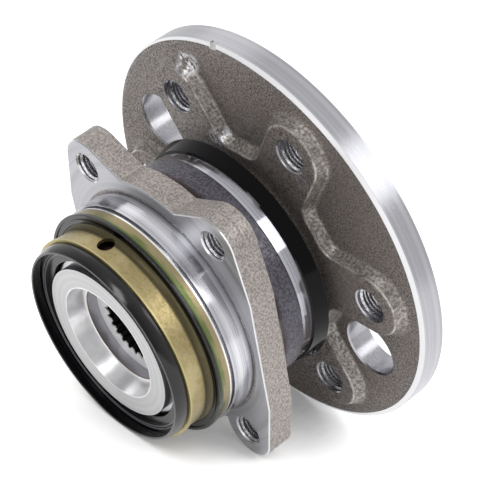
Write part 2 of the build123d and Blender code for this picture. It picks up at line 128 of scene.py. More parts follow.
# Where one skin gives way to another.  These, and the tenths of a millimetre that are
# added where they are used, stop an area a little short of a solid's edge or past it.
PAD_INNER_R = 40 * MM
PAD_OUTER_R = 84 * MM
PAD_CREST = 1.1 * MM
WHEEL_BOLT_CUT = 0.55 * MM
ACCESS_CUT = 0.65 * MM
NOTCH_START = CAST_FACE - 2.5 * MM
BOWL_R = COUNTERBORE_R + 3.8 * MM
SPLINE_MOUTH = 0.5 * MM
HEM_WIDTH = 0.7 * MM
GREEN_BAND = 2.4 * MM
GREEN_EDGE = 1.2 * MM

# Round spots on the hub, each as its x, its z and its radius: the notch in the rim, whose
# inside is painted light in place of its shade, the blasted skin, a patch high on the neck
# between two pads that is painted light, and places that are rubbed bright.  The
# skin's circle stands off centre, so the rim's chamfer runs out on one side.
RIM_NOTCH = (-13.0 * MM, 85.0 * MM, 1.95 * MM)
RIM_RUN_OUT = (-1.45 * MM, -0.4 * MM, RIM_CHAMFER_R + 0.6 * MM)
NECK_SPOT = (2.5 * MM, 49.0 * MM, 9.0 * MM)
RUBBED_SPOTS = [
    (-28.1 * MM, 71.7 * MM, 4.0 * MM),
    (-32.0 * MM, 71.5 * MM, 3.0 * MM),
    (-13.5 * MM, 44.8 * MM, 3.5 * MM),
    (35.6 * MM, 47.6 * MM, 3.0 * MM),
]

# A tool feeds about 0.2 mm a turn.  That is too fine to show, so its rings are drawn
# this far apart.
TOOL_FEED = 0.8 * MM

# The turns of a garter spring are about 0.3 mm apart.  That is too fine to show, and
# this many round the ring are drawn 0.49 mm apart.
SPRING_TURNS = 520

# The tooth of paper is about 0.1 mm, and is drawn 0.56 mm across so that it shows.
PAPER_TOOTH = 5 / 9 * MM

# Past every piece, for the ends of an area that has no end of its own.
FAR = 1.0

# ------------------------------------------------------------------ threads and stage

# A thread starts this far inside its face, is shorter than its hole by the gap, and
# reaches this far into the wall, so that no slit shows.
THREAD_SETBACK = 0.6 * MM
THREAD_END_GAP = 0.8 * MM
THREAD_ROOT_LAP = 0.04 * MM

# The rib's root is this share of the pitch, so that a turn never touches the next one.
# The merge distance is less than the gap, and only joins a turn to the one it goes on from.
ROOT_SHARE = 0.999
MERGE_DISTANCE = 0.001 * MM
STEPS_PER_TURN = 36
SHARPEST_SMOOTH_EDGE = radians(35)

# The floor is wide enough to fill the camera's view.  The sensor's width is in millimetres.
FLOOR_R = 0.9
SENSOR_WIDTH = 36

# The paper darkens where the bearing hides the tent from it, within this distance.
CONTACT_REACH = 70 * MM

# Share by which the tent is brighter in mirrors than on matt skins.
TENT_GLOSS = 0.35


# ------------------------------------------------------------------ colour and nodes


def linear(code):
    """Turn an sRGB hex colour into linear red, green and blue."""
    parts = [int(code[i : i + 2], 16) / 255 for i in (1, 3, 5)]
    return tuple(c / 12.92 if c <= 0.04045 else ((c + 0.055) / 1.055) ** 2.4 for c in parts)


def add_node(tree, kind, inputs=None, **settings):
    """Add a node with its settings, and fill or link the inputs that it uses."""
    made = tree.nodes.new(kind)
    for name, value in settings.items():
        setattr(made, name, value)
    in_use = [socket for socket in made.inputs if socket.enabled]
    for key, value in (inputs or {}).items():
        socket = in_use[key] if isinstance(key, int) else next(s for s in in_use if s.name == key)
        if isinstance(value, bpy.types.Node):
            value = next(s for s in value.outputs if s.enabled)
        if isinstance(value, bpy.types.NodeSocket):
            tree.links.new(value, socket)
        elif socket.type == "RGBA":
            socket.default_value = (*value[:3], 1)
        else:
            socket.default_value = value
    return made


def new_finish(name):
    """An empty material, with where its points are on the hub."""
    material = bpy.data.materials.new(name)
    material.use_nodes = True
    tree = material.node_tree
    tree.nodes.clear()
    at = add_node(tree, "ShaderNodeTexCoord").outputs["Object"]
    axes = add_node(tree, "ShaderNodeSeparateXYZ", {0: at}).outputs
    arm = add_node(tree, "ShaderNodeCombineXYZ", {"X": axes["X"], "Z": axes["Z"]})
    radius = add_node(tree, "ShaderNodeVectorMath", {0: arm}, operation="LENGTH").outputs["Value"]
    inboard = add_node(tree, "ShaderNodeMath", {0: axes["Y"], 1: -1.0}, operation="MULTIPLY")
    angle = add_node(tree, "ShaderNodeMath", {0: axes["Z"], 1: axes["X"]}, operation="ARCTAN2")
    station = inboard.outputs[0]
    rings = add_node(tree, "ShaderNodeCombineXYZ", {"X": radius, "Y": station}).outputs[0]
    place = SimpleNamespace(
        at=at,
        x=axes["X"],
        z=axes["Z"],
        radius=radius,
        station=station,
        angle=angle.outputs[0],
        rings=rings,
    )
    return material, tree, place


def combined(tree, areas, how="MAXIMUM"):
    """Areas as one: with MAXIMUM 1 in any of them, with MULTIPLY 1 only in all of them."""
    whole = areas[0]
    for area in areas[1:]:
        whole = add_node(tree, "ShaderNodeMath", {0: whole, 1: area}, operation=how)
    return whole


def between(tree, value, low, high, soft):
    """1 where a value lies between two others, 0 elsewhere, over a soft edge."""
    rise = add_node(
        tree,
        "ShaderNodeMapRange",
        {"Value": value, "From Min": low - soft, "From Max": low + soft},
        interpolation_type="SMOOTHSTEP",
    )
    fall = add_node(
        tree,
        "ShaderNodeMapRange",
        {"Value": value, "From Min": high + soft, "From Max": high - soft},
        interpolation_type="SMOOTHSTEP",
    )
    return combined(tree, [rise, fall], "MULTIPLY")


def turned_area(tree, place, inner, outer, start, end, soft=0.1 * MM):
    """1 between two radii and two stations, 0 elsewhere."""
    over_radius = between(tree, place.radius, inner, outer, soft)
    over_length = between(tree, place.station, start, end, soft)
    return combined(tree, [over_radius, over_length], "MULTIPLY")


def drilled_area(tree, aside, along, hole_r, soft=0.1 * MM):
    """1 inside a hole, from the two distances to its axis."""
    arm = add_node(tree, "ShaderNodeCombineXYZ", {"X": aside, "Y": along})
    apart = add_node(tree, "ShaderNodeVectorMath", {0: arm}, operation="LENGTH").outputs["Value"]
    return between(tree, apart, -FAR, hole_r, soft)


def bolt_circle_area(tree, place, count, first_angle, circle_r, hole_r):
    """1 inside the holes of a bolt circle about the hub axis."""
    share = 2 * pi / count
    turn = add_node(
        tree, "ShaderNodeMath", {0: place.angle, 1: first_angle - share / 2}, operation="SUBTRACT"
    )
    folded = add_node(tree, "ShaderNodeMath", {0: turn, 1: share}, operation="FLOORED_MODULO")
    local = add_node(tree, "ShaderNodeMath", {0: folded, 1: share / 2}, operation="SUBTRACT")
    cosine = add_node(tree, "ShaderNodeMath", {0: local}, operation="COSINE")
    sine = add_node(tree, "ShaderNodeMath", {0: local}, operation="SINE")
    aside = add_node(tree, "ShaderNodeMath", {0: place.radius, 1: sine}, operation="MULTIPLY")
    along = add_node(
        tree, "ShaderNodeMath", {0: place.radius, 1: cosine, 2: -circle_r}, operation="MULTIPLY_ADD"
    )
    return drilled_area(tree, aside, along, hole_r)


def square_pattern_area(tree, place, hole_x, hole_z, hole_r):
    """1 inside the four holes that stand in an upright rectangle round the axis."""
    right = add_node(tree, "ShaderNodeMath", {0: place.x}, operation="ABSOLUTE")
    high = add_node(tree, "ShaderNodeMath", {0: place.z}, operation="ABSOLUTE")
    aside = add_node(tree, "ShaderNodeMath", {0: right, 1: hole_x}, operation="SUBTRACT")
    along = add_node(tree, "ShaderNodeMath", {0: high, 1: hole_z}, operation="SUBTRACT")
    return drilled_area(tree, aside, along, hole_r)


def spots_area(tree, place, spots, soft):
    """1 inside round spots, each given by its x, z and radius."""
    areas = []
    for x, z, spot_r in spots:
        aside = add_node(tree, "ShaderNodeMath", {0: place.x, 1: x}, operation="SUBTRACT")
        along = add_node(tree, "ShaderNodeMath", {0: place.z, 1: z}, operation="SUBTRACT")
        areas.append(drilled_area(tree, aside, along, spot_r, soft))
    return combined(tree, areas)


def laid_over(tree, area, upper, lower, share=1.0):
    """One look laid over another where an area is 1, as far as the share says."""
    amount = add_node(tree, "ShaderNodeMath", {0: area, 1: share}, operation="MULTIPLY")
    both = dict(lower)
    for part in [part for part in upper if upper[part] != lower[part]]:
        both[part] = add_node(
            tree,
            "ShaderNodeMix",
            {"Factor": amount, "A": lower[part], "B": upper[part]},
            data_type="RGBA" if part == "colour" else "FLOAT",
        )
    return both


def blasted_skin(tree, place, grain, colours, metallic, roughness, relief=1.0, contrast=0.14):
    """Look of a shot-blasted forging: fine pits and peened spots of one grain size."""
    pits = add_node(
        tree,
        "ShaderNodeTexNoise",
        {"Vector": place.at, "Scale": 0.5 / grain, "Detail": 4.0, "Roughness": 0.65},
    )
    spots = add_node(
        tree,
        "ShaderNodeMapRange",
        {"Value": pits, "From Min": 0.5 - contrast, "From Max": 0.5 + contrast},
        interpolation_type="SMOOTHSTEP",
    )
    return {
        "colour": add_node(
            tree,
            "ShaderNodeMix",
            {"Factor": spots, "A": linear(colours[0]), "B": linear(colours[1])},
            data_type="RGBA",
        ),
        "metallic": metallic,
        "roughness": add_node(
            tree, "ShaderNodeMix", {"Factor": spots, "A": roughness[1], "B": roughness[0]}
        ),
        "height": add_node(tree, "ShaderNodeMath", {0: pits, 1: relief}, operation="MULTIPLY"),
    }


def turned_skin(tree, place, feed, colours, metallic, roughness, relief=0.1):
    """Look of a turned or drawn surface: rings about the axis, drawn one feed apart."""
    marks = add_node(
        tree, "ShaderNodeTexNoise", {"Vector": place.rings, "Scale": 0.5 / feed, "Detail": 2.0}
    )
    lines = add_node(
        tree,
        "ShaderNodeMapRange",
        {"Value": marks, "From Min": 0.35, "From Max": 0.65},
        interpolation_type="SMOOTHSTEP",
    )
    return {
        "colour": add_node(
            tree,
            "ShaderNodeMix",
            {"Factor": lines, "A": linear(colours[0]), "B": linear(colours[1])},
            data_type="RGBA",
        ),
        "metallic": metallic,
        "roughness": add_node(
            tree, "ShaderNodeMix", {"Factor": lines, "A": roughness[0], "B": roughness[1]}
        ),
        "height": add_node(tree, "ShaderNodeMath", {0: marks, 1: relief}, operation="MULTIPLY"),
    }


def clouds(tree, place, size, low=0.4, high=0.6):
    """Soft patches of about one size, from 0 to 1."""
    drift = add_node(
        tree, "ShaderNodeTexNoise", {"Vector": place.at, "Scale": 0.5 / size, "Detail": 3.0}
    )
    return add_node(
        tree,
        "ShaderNodeMapRange",
        {"Value": drift, "From Min": low, "From Max": high},
        interpolation_type="SMOOTHSTEP",
    )


def close_finish(material, tree, look, depth, inputs=None):
    """End a material in one Principled shader, with its relief as deep as depth."""
    relief = add_node(
        tree, "ShaderNodeBump", {"Height": look["height"], "Distance": depth, "Strength": 1.0}
    )
    shader = add_node(
        tree,
        "ShaderNodeBsdfPrincipled",
        {
            "Base Color": look["colour"],
            "Metallic": look["metallic"],
            "Roughness": look["roughness"],
            "Normal": relief,
            **(inputs or {}),
        },
    )
    add_node(tree, "ShaderNodeOutputMaterial", {"Surface": shader})
    return material


def round_the_axis(tree, place):
    """Shader inputs that draw highlights out across the rings of a turned surface."""
    along = add_node(
        tree, "ShaderNodeVectorMath", {0: (0.0, 1.0, 0.0), 1: place.at}, operation="CROSS_PRODUCT"
    )
    turned = add_node(
        tree,
        "ShaderNodeVectorTransform",
        {0: along},
        vector_type="VECTOR",
        convert_from="OBJECT",
        convert_to="WORLD",
    )
    return {"Anisotropic": 0.6, "Anisotropic Rotation": 0.25, "Tangent": turned}


# ------------------------------------------------------------------ what a user would change


def colour_property(name, description, code):
    """A colour property whose default is a hex colour."""
    return bpy.props.FloatVectorProperty(
        name=name,
        description=description,
        subtype="COLOR",
        size=3,
        min=0,
        max=1,
        default=linear(code),
    )


class HubFinishProperties(bpy.types.PropertyGroup):
    """Tints that are laid over the bearing's finishes."""

    tempered: colour_property(
        "Tempered body", "Heat-darkened skin beside the ground band", "#55535A"
    )
    heat_line: colour_property("Heat line", "Brown edge of the heat-darkened skin", "#5C443C")
    plating: colour_property("Plating", "Yellow-passivated zinc of the sleeve", "#9C8E62")
    # A highlight painted on the sleeve's rolled edge.
    painted_edge_highlight: colour_property("Plating edge", "Rolled edge of the sleeve", "#BDB080")
    green_film: colour_property("Green film", "Where the yellow film turns green", "#4F6A34")
    # Painted shade: the sleeve's cove is painted dark.
    painted_cove_shade: colour_property("Cove film", "Thick film in the sleeve's cove", "#3F3A22")


class HubThreadProperties(bpy.types.PropertyGroup):
    """Sizes of the tapped threads."""

    pitch: bpy.props.FloatProperty(
        name="Pitch",
        description="Pitch of the wheel bolt and mounting bolt threads",
        unit="LENGTH",
        default=1.5 * MM,
        min=0.5 * MM,
    )
    depth: bpy.props.FloatProperty(
        name="Depth",
        description="Depth of the cut thread",
        unit="LENGTH",
        default=0.81 * MM,
        min=0.1 * MM,
    )
    crest: bpy.props.FloatProperty(
        name="Crest share",
        description="Width of the flat crest as a share of the pitch",
        subtype="FACTOR",
        default=0.22,
        min=0.05,
        max=0.5,
    )


class HubStageProperties(bpy.types.PropertyGroup):
    """Camera and lamps of the studio."""

    lens: bpy.props.FloatProperty(
        name="Lens", description="Focal length", unit="CAMERA", default=165.055, min=10
    )
    distance: bpy.props.FloatProperty(
        name="Distance",
        description="From the camera to the point that it aims at",
        unit="LENGTH",
        default=871.26 * MM,
        min=0.2,
    )
    aim: bpy.props.FloatVectorProperty(
        name="Aim",
        description="Point on the hub axis that the camera aims at",
        subtype="XYZ",
        unit="LENGTH",
        size=3,
        default=(-2.26 * MM, -21.14 * MM, 2.18 * MM),
    )
    azimuth: bpy.props.FloatProperty(
        name="Azimuth",
        description="Camera's turn about the vertical, from straight behind the hub",
        subtype="ANGLE",
        default=radians(54.383),
    )
    elevation: bpy.props.FloatProperty(
        name="Elevation",
        description="Camera's height above the hub axis",
        subtype="ANGLE",
        default=radians(40.15),
    )
    roll: bpy.props.FloatProperty(
        name="Roll",
        description="Camera's turn about its own line of sight",
        subtype="ANGLE",
        default=radians(-10.295),
    )
    key_power: bpy.props.FloatProperty(
        name="Key power", description="Watts of the far right softbox", subtype="POWER", default=1.6
    )
    left_power: bpy.props.FloatProperty(
        name="Left power", description="Watts of the far left softbox", subtype="POWER", default=0.4
    )
    front_power: bpy.props.FloatProperty(
        name="Front power", description="Watts of the near softbox", subtype="POWER", default=1.6
    )
    top_power: bpy.props.FloatProperty(
        name="Top power", description="Watts of the top softbox", subtype="POWER", default=1.7
    )
    tent: bpy.props.FloatProperty(
        name="Tent", description="Brightness of the white tent", default=0.7, min=0
    )
    room: bpy.props.FloatProperty(
        name="Room", description="Brightness of the room behind the camera", default=0.3, min=0
    )


# ------------------------------------------------------------------ finishes

# Shot leaves pits about 0.2 mm across, which are too fine to show, so the blasted skins
# draw them 0.4 to 0.6 mm across.


def hub_skin_look(tree, place):
    """The hub's blasted skin alone, and with its walls and neck patch painted light, a highlight
    painted on its crests, and its rubbed spots.
    """
    skin = blasted_skin(
        tree, place, 0.4 * MM, ("#544D4A", "#9E9590"),
        metallic=0.4, roughness=(0.38, 0.66), relief=1.2, contrast=0.12,
    )
    drift = clouds(tree, place, 9 * MM)
    lighter = blasted_skin(
        tree, place, 0.55 * MM, ("#6B635F", "#A39A94"),
        metallic=0.4, roughness=(0.4, 0.6), relief=1.1,
    )
    look = laid_over(tree, drift, lighter, skin, 0.35)
    # Painted light: the pads' walls are painted paler than the skin, as they look where light falls
    # on them.
    wall = blasted_skin(
        tree, place, 0.6 * MM, ("#75706B", "#B6B0AB"),
        metallic=0.65, roughness=(0.3, 0.48), relief=1.3,
    )
    walls = turned_area(
        tree, place, PAD_INNER_R, PAD_OUTER_R,
        CAST_FACE + 0.5 * MM, PAD_FACE - PAD_CREST, soft=0.3 * MM,
    )
    look = laid_over(tree, walls, wall, look)
    # Painted light: a patch high on the neck takes the walls' paler, lit look.
    neck = spots_area(tree, place, [NECK_SPOT], soft=5 * MM)
    look = laid_over(tree, neck, wall, look, 0.8)
    # Painted highlight: the pads' crests are painted pale, in patches, as a highlight along their
    # rounded edge.
    crest = blasted_skin(
        tree, place, 0.5 * MM, ("#A39E9A", "#DAD7D3"),
        metallic=0.75, roughness=(0.24, 0.36), relief=0.6,
    )
    crests = turned_area(
        tree, place, PAD_INNER_R, PAD_OUTER_R,
        PAD_FACE - 0.8 * PAD_CREST, PAD_FACE - 0.2 * PAD_CREST, soft=0.2 * MM,
    )
    crest_highlight = combined(tree, [crests, clouds(tree, place, 3 * MM, 0.3, 0.6)], "MULTIPLY")
    look = laid_over(tree, crest_highlight, crest, look, 0.95)
    spots = spots_area(tree, place, RUBBED_SPOTS, soft=1.5 * MM)
    rubbed = combined(tree, [spots, clouds(tree, place, 1.0 * MM, 0.46, 0.54)], "MULTIPLY")
    bright = {"colour": linear("#E6E6EA"), "metallic": 1.0, "roughness": 0.22}
    return skin, laid_over(tree, rubbed, bright, look, 0.9)


def hub_turned_look(tree, place, skin, look):
    """The hub's look with its turned and drilled faces, a highlight painted on the rim chamfer, and
    the notch painted light.
    """
    cut = turned_skin(
        tree, place, TOOL_FEED, ("#A8A8AD", "#B6B6BB"),
        metallic=1.0, roughness=(0.26, 0.34), relief=0.03,
    )
    areas = [
        turned_area(tree, place, RIM_CHAMFER_R, FAR, -FAR, FAR, soft=0.08 * MM),
        turned_area(tree, place, -FAR, FAR, -FAR, 0.1 * MM, soft=0.05 * MM),
        turned_area(tree, place, -FAR, HUB_BARREL_R - 0.2 * MM, HUB_BARREL_START, FAR),
        turned_area(tree, place, -FAR, HUB_BORE_R, -FAR, FAR),
        bolt_circle_area(
            tree, place, WHEEL_BOLT_COUNT, HUB_CLOCK,
            WHEEL_BOLT_CIRCLE_R, WHEEL_BOLT_R + WHEEL_BOLT_CUT,
        ),
        bolt_circle_area(
            tree, place, ACCESS_COUNT, ACCESS_ANGLE, ACCESS_CIRCLE_R, ACCESS_R + ACCESS_CUT
        ),
    ]
    look = laid_over(tree, combined(tree, areas), cut, look)
    chamfer = turned_area(
        tree, place, RIM_CHAMFER_R, WHEEL_FLANGE_R - 0.15 * MM,
        CAST_FACE - RIM_CHAMFER, FAR, soft=0.08 * MM,
    )
    # Painted highlight: the rim's chamfer is painted paler than the other cuts.
    look = laid_over(tree, chamfer, {"colour": linear("#DCDCDE"), "roughness": 0.32}, look)
    skinned = spots_area(tree, place, [RIM_RUN_OUT], soft=0.1 * MM)
    look = laid_over(tree, combined(tree, [chamfer, skinned], "MULTIPLY"), skin, look)
    # Painted light: the inside of the rim's notch is painted near-white in place of its shade.
    spot = spots_area(tree, place, [RIM_NOTCH], soft=0.1 * MM)
    depth = between(tree, place.station, NOTCH_START, CAST_FACE - 0.1 * MM, 0.05 * MM)
    painted_light = {"colour": linear("#F0F0F0"), "metallic": 0.2, "roughness": 0.5}
    return laid_over(tree, combined(tree, [spot, depth], "MULTIPLY"), painted_light, look)


def hub_mouth_look(tree, place, look):
    """The hub's look with its rolled collar, bowl with painted reflections, counterbore with its
    ledge and the spline's mouth painted light, and the spline painted black as shade.
    """
    collar = turned_skin(
        tree, place, 0.7 * MM, ("#BCBCBD", "#C8C8C9"),
        metallic=1.0, roughness=(0.36, 0.42), relief=0.005,
    )
    collars = turned_area(tree, place, BOWL_R, COLLAR_R, COLLAR_START, FAR, soft=0.3 * MM)
    look = laid_over(tree, collars, collar, look)
    bowl = turned_area(tree, place, COUNTERBORE_R, BOWL_R, LEDGE, FAR, soft=0.2 * MM)
    look = laid_over(tree, bowl, {"colour": linear("#F4F4F5"), "roughness": 0.3}, look)
    # Painted reflections: soft dark patches in the bowl stand in for what its mirror reflects.
    soft_patches = combined(tree, [clouds(tree, place, 9 * MM, 0.4, 0.75), bowl], "MULTIPLY")
    look = laid_over(tree, soft_patches, {"colour": linear("#7E7E86")}, look, 0.5)
    # Painted light: the ledge at the counterbore is painted near-white in place of its shade.
    ledge = turned_area(
        tree, place, COUNTERBORE_R, LEDGE_R, LEDGE - 0.1 * MM, LEDGE + 0.3 * MM
    )
    painted_light = {"colour": linear("#F2F2F2"), "metallic": 0.6, "roughness": 0.4}
    look = laid_over(tree, ledge, painted_light, look)
    bored = turned_area(
        tree, place, -FAR, COUNTERBORE_R + 0.1 * MM, SPLINE_START + 0.2 * MM, LEDGE + 0.1 * MM
    )
    look = laid_over(tree, bored, {"colour": linear("#B4B2B8"), "roughness": 0.3}, look)
    burr = turned_area(
        tree, place, -FAR, COUNTERBORE_R + 0.3 * MM,
        LEDGE - 0.35 * MM, LEDGE + 0.05 * MM, soft=0.05 * MM,
    )
    look = laid_over(tree, burr, {"colour": linear("#8C7464"), "metallic": 0.5}, look)
    # Painted light: the mouth of the spline is painted near-white, as its lit tooth ends.
    mouth = turned_area(
        tree, place, -FAR, COUNTERBORE_R - 0.2 * MM,
        SPLINE_START - SPLINE_MOUTH, SPLINE_START + 0.2 * MM,
    )
    lit = {"colour": linear("#F6F6F6"), "metallic": 0.2, "roughness": 0.4}
    look = laid_over(tree, mouth, lit, look)
    # Painted shade: the spline's teeth and deep bore are painted black.
    broached = turned_area(
        tree, place, -FAR, COUNTERBORE_R, HUB_BARREL_START, SPLINE_START - SPLINE_MOUTH
    )
    painted_shade = {"colour": linear("#0C0C0E"), "metallic": 0.4, "roughness": 0.45}
    return laid_over(tree, broached, painted_shade, look)


def blasted_forging_hub():
    """Alloy steel forging, shot-blasted, then turned on the rim, bore and outboard side.

    The skin stays dark, matt and grainy; the pads' walls are painted light and their
    crests carry a painted highlight. The cuts are light, with rings from the tool. The
    broached spline is painted black as shade.
    """
    material, tree, place = new_finish("Shot-blasted alloy steel forging")
    skin, look = hub_skin_look(tree, place)
    look = hub_turned_look(tree, place, skin, look)
    look = hub_mouth_look(tree, place, look)
    return close_finish(material, tree, look, 0.25 * MM, round_the_axis(tree, place))


def ground_forging_ring(finish):
    """Bearing steel ring: blasted forging, tempered body, turned face, ground band.

    The blasted skin is warm grey, the body blue-black from heat, the ground band a mirror.
    A highlight is painted along the turned face's edge.
    """
    material, tree, place = new_finish("Blasted, turned and ground bearing steel")
    skin = blasted_skin(
        tree, place, 0.45 * MM, ("#8B8480", "#BCB4AF"),
        metallic=0.6, roughness=(0.34, 0.52), relief=0.9,
    )
    body = blasted_skin(
        tree, place, 0.5 * MM, ("#49474F", "#827F88"),
        metallic=0.85, roughness=(0.3, 0.46), relief=0.5,
    )
    body["colour"] = add_node(
        tree,
        "ShaderNodeMix",
        {"Factor": 0.5, "A": body["colour"], "B": finish.tempered},
        data_type="RGBA",
    )
    bodies = between(tree, place.station, -FAR, MOUNT_BACK - 2.2 * MM, 1.2 * MM)
    look = laid_over(tree, bodies, body, skin)
    line = between(tree, place.station, MOUNT_BACK - 5.5 * MM, MOUNT_BACK - 3.0 * MM, 1.2 * MM)
    look = laid_over(tree, line, {"colour": finish.heat_line}, look, 0.45)

    face = turned_skin(
        tree, place, TOOL_FEED, ("#A6A6AA", "#B8B8BC"),
        metallic=1.0, roughness=(0.34, 0.42), relief=0.04,
    )
    face_start = MOUNT_FACE - MOUNT_EDGE
    faces = turned_area(tree, place, SPIGOT_R, FAR, face_start, FAR, soft=0.06 * MM)
    look = laid_over(tree, faces, face, look)
    # Painted highlight: a bright line is painted along the mounting face's edge.
    edge = between(tree, place.station, face_start, MOUNT_FACE - 0.08 * MM, 0.05 * MM)
    bright = {"colour": linear("#E4E4E6"), "metallic": 1.0, "roughness": 0.2}
    look = laid_over(tree, edge, bright, look, 0.8)
    cut = turned_skin(
        tree, place, TOOL_FEED, ("#ACACB2", "#DCDCE0"),
        metallic=1.0, roughness=(0.16, 0.28), relief=0.08,
    )
    areas = [
        turned_area(tree, place, -FAR, SPIGOT_R + 0.1 * MM, MOUNT_FACE - 0.1 * MM, FAR),
        turned_area(tree, place, -FAR, RING_BORE_R, -FAR, FAR),
        square_pattern_area(tree, place, AXLE_BOLT_X, AXLE_BOLT_Z, AXLE_BOLT_R + 0.2 * MM),
        turned_area(tree, place, -FAR, GROUND_BAND_R - 0.3 * MM, -FAR, FAR),
    ]
    look = laid_over(tree, combined(tree, areas), cut, look)
    # A grinding wheel's marks are finer still, and are drawn 0.6 mm apart and faint.
    mirror = turned_skin(
        tree, place, 0.6 * MM, ("#9A9AA2", "#B4B4BA"),
        metallic=1.0, roughness=(0.06, 0.12), relief=0.03,
    )
    band = turned_area(
        tree, place, GROUND_BAND_R - 0.1 * MM, FAR, -FAR, GROUND_BAND_END, soft=0.12 * MM
    )
    look = laid_over(tree, band, mirror, look)
    return close_finish(material, tree, look, 0.22 * MM, round_the_axis(tree, place))


def ground_bearing_steel():
    """Hardened and ground bearing steel: fine rings, drawn coarse, and a tight highlight."""
    material, tree, place = new_finish("Ground bearing steel")
    look = turned_skin(
        tree, place, 0.5 * MM, ("#B4B4B8", "#CFCFD3"),
        metallic=1.0, roughness=(0.14, 0.24), relief=0.3,
    )
    return close_finish(material, tree, look, 0.02 * MM, round_the_axis(tree, place))


def lapped_ball_steel():
    """Lapped chrome steel balls: nearly a mirror, with a faint haze in 2.5 mm patches."""
    material, tree, place = new_finish("Lapped chrome steel")
    soft_patches = blasted_skin(
        tree, place, 2.5 * MM, ("#C9C9CE", "#D8D8DC"),
        metallic=1.0, roughness=(0.05, 0.09), relief=0.2,
    )
    return close_finish(material, tree, soft_patches, 0.004 * MM)


def moulded_nylon():
    """Glass-filled nylon moulding: creamy and slightly waxy, with faint 1.5 mm flow marks."""
    material, tree, place = new_finish("Moulded glass-filled nylon")
    flow = blasted_skin(
        tree, place, 1.5 * MM, ("#C9BE9C", "#D9CFB2"),
        metallic=0.0, roughness=(0.42, 0.55), relief=0.5,
    )
    waxy = {"Subsurface Weight": 0.1, "Subsurface Scale": 1.0 * MM}
    return close_finish(material, tree, flow, 0.05 * MM, waxy)


def black_coated_steel():
    """Pressed steel with a smooth black coat: deep black and glossy, with drawing lines."""
    material, tree, place = new_finish("Black-coated pressed steel")
    coat = turned_skin(
        tree, place, TOOL_FEED, ("#030304", "#08080A"),
        metallic=0.0, roughness=(0.06, 0.11), relief=0.3,
    )
    dust = clouds(tree, place, 7 * MM, 0.55, 0.75)
    look = laid_over(tree, dust, {"roughness": 0.22}, coat, 0.6)
    return close_finish(material, tree, look, 0.015 * MM, {"Specular IOR Level": 0.12})


def nitrile_rubber():
    """Compression-moulded nitrile rubber: black, with an oily gloss, mould rings, and highlights
    painted on the lip's crest and two ridges.
    """
    material, tree, place = new_finish("Moulded nitrile rubber")
    rubber = turned_skin(
        tree, place, 1.1 * MM, ("#060608", "#0D0D10"),
        metallic=0.0, roughness=(0.12, 0.2), relief=0.2,
    )
    bloom = clouds(tree, place, 5 * MM, 0.5, 0.7)
    look = laid_over(tree, bloom, {"colour": linear("#202023"), "roughness": 0.32}, rubber, 0.5)
    # Painted highlight: the lip's crest is painted grey.
    crest = between(tree, place.station, SEAL_CREST - 0.22 * MM, FAR, 0.06 * MM)
    look = laid_over(tree, crest, {"colour": linear("#6E6A6A"), "roughness": 0.3}, look, 0.8)
    # Painted highlights: two grey rings are painted on the seal's ridges.
    ridges = turned_area(
        tree, place, 0, SEAL_RIDGE_R,
        SEAL_FLOOR + 0.45 * MM, SEAL_FLOOR + 0.9 * MM, soft=0.05 * MM,
    )
    look = laid_over(tree, ridges, {"colour": linear("#8A8A90"), "roughness": 0.3}, look, 0.8)
    return close_finish(material, tree, look, 0.04 * MM)


def wound_spring_wire():
    """Close-wound spring: the turns of the wire show as ribs across the ring."""
    material, tree, place = new_finish("Close-wound spring wire")
    turns = add_node(
        tree, "ShaderNodeMath", {0: place.angle, 1: float(SPRING_TURNS)}, operation="MULTIPLY"
    )
    wave = add_node(tree, "ShaderNodeMath", {0: turns}, operation="SINE")
    ribs = add_node(tree, "ShaderNodeMath", {0: wave, 1: 0.5, 2: 0.5}, operation="MULTIPLY_ADD")
    colour = add_node(
        tree,
        "ShaderNodeMix",
        {"Factor": ribs, "A": linear("#6F6F72"), "B": linear("#B8B8BC")},
        data_type="RGBA",
    )
    look = {"colour": colour, "metallic": 1.0, "roughness": 0.3, "height": ribs}
    return close_finish(material, tree, look, 0.15 * MM)


def pressed_stainless():
    """Deep-drawn stainless sheet: soft drawing lines round the axis."""
    material, tree, place = new_finish("Pressed stainless sheet")
    look = turned_skin(
        tree, place, TOOL_FEED, ("#A9A9AA", "#C6C6C8"),
        metallic=1.0, roughness=(0.18, 0.3), relief=0.3,
    )
    return close_finish(material, tree, look, 0.03 * MM)


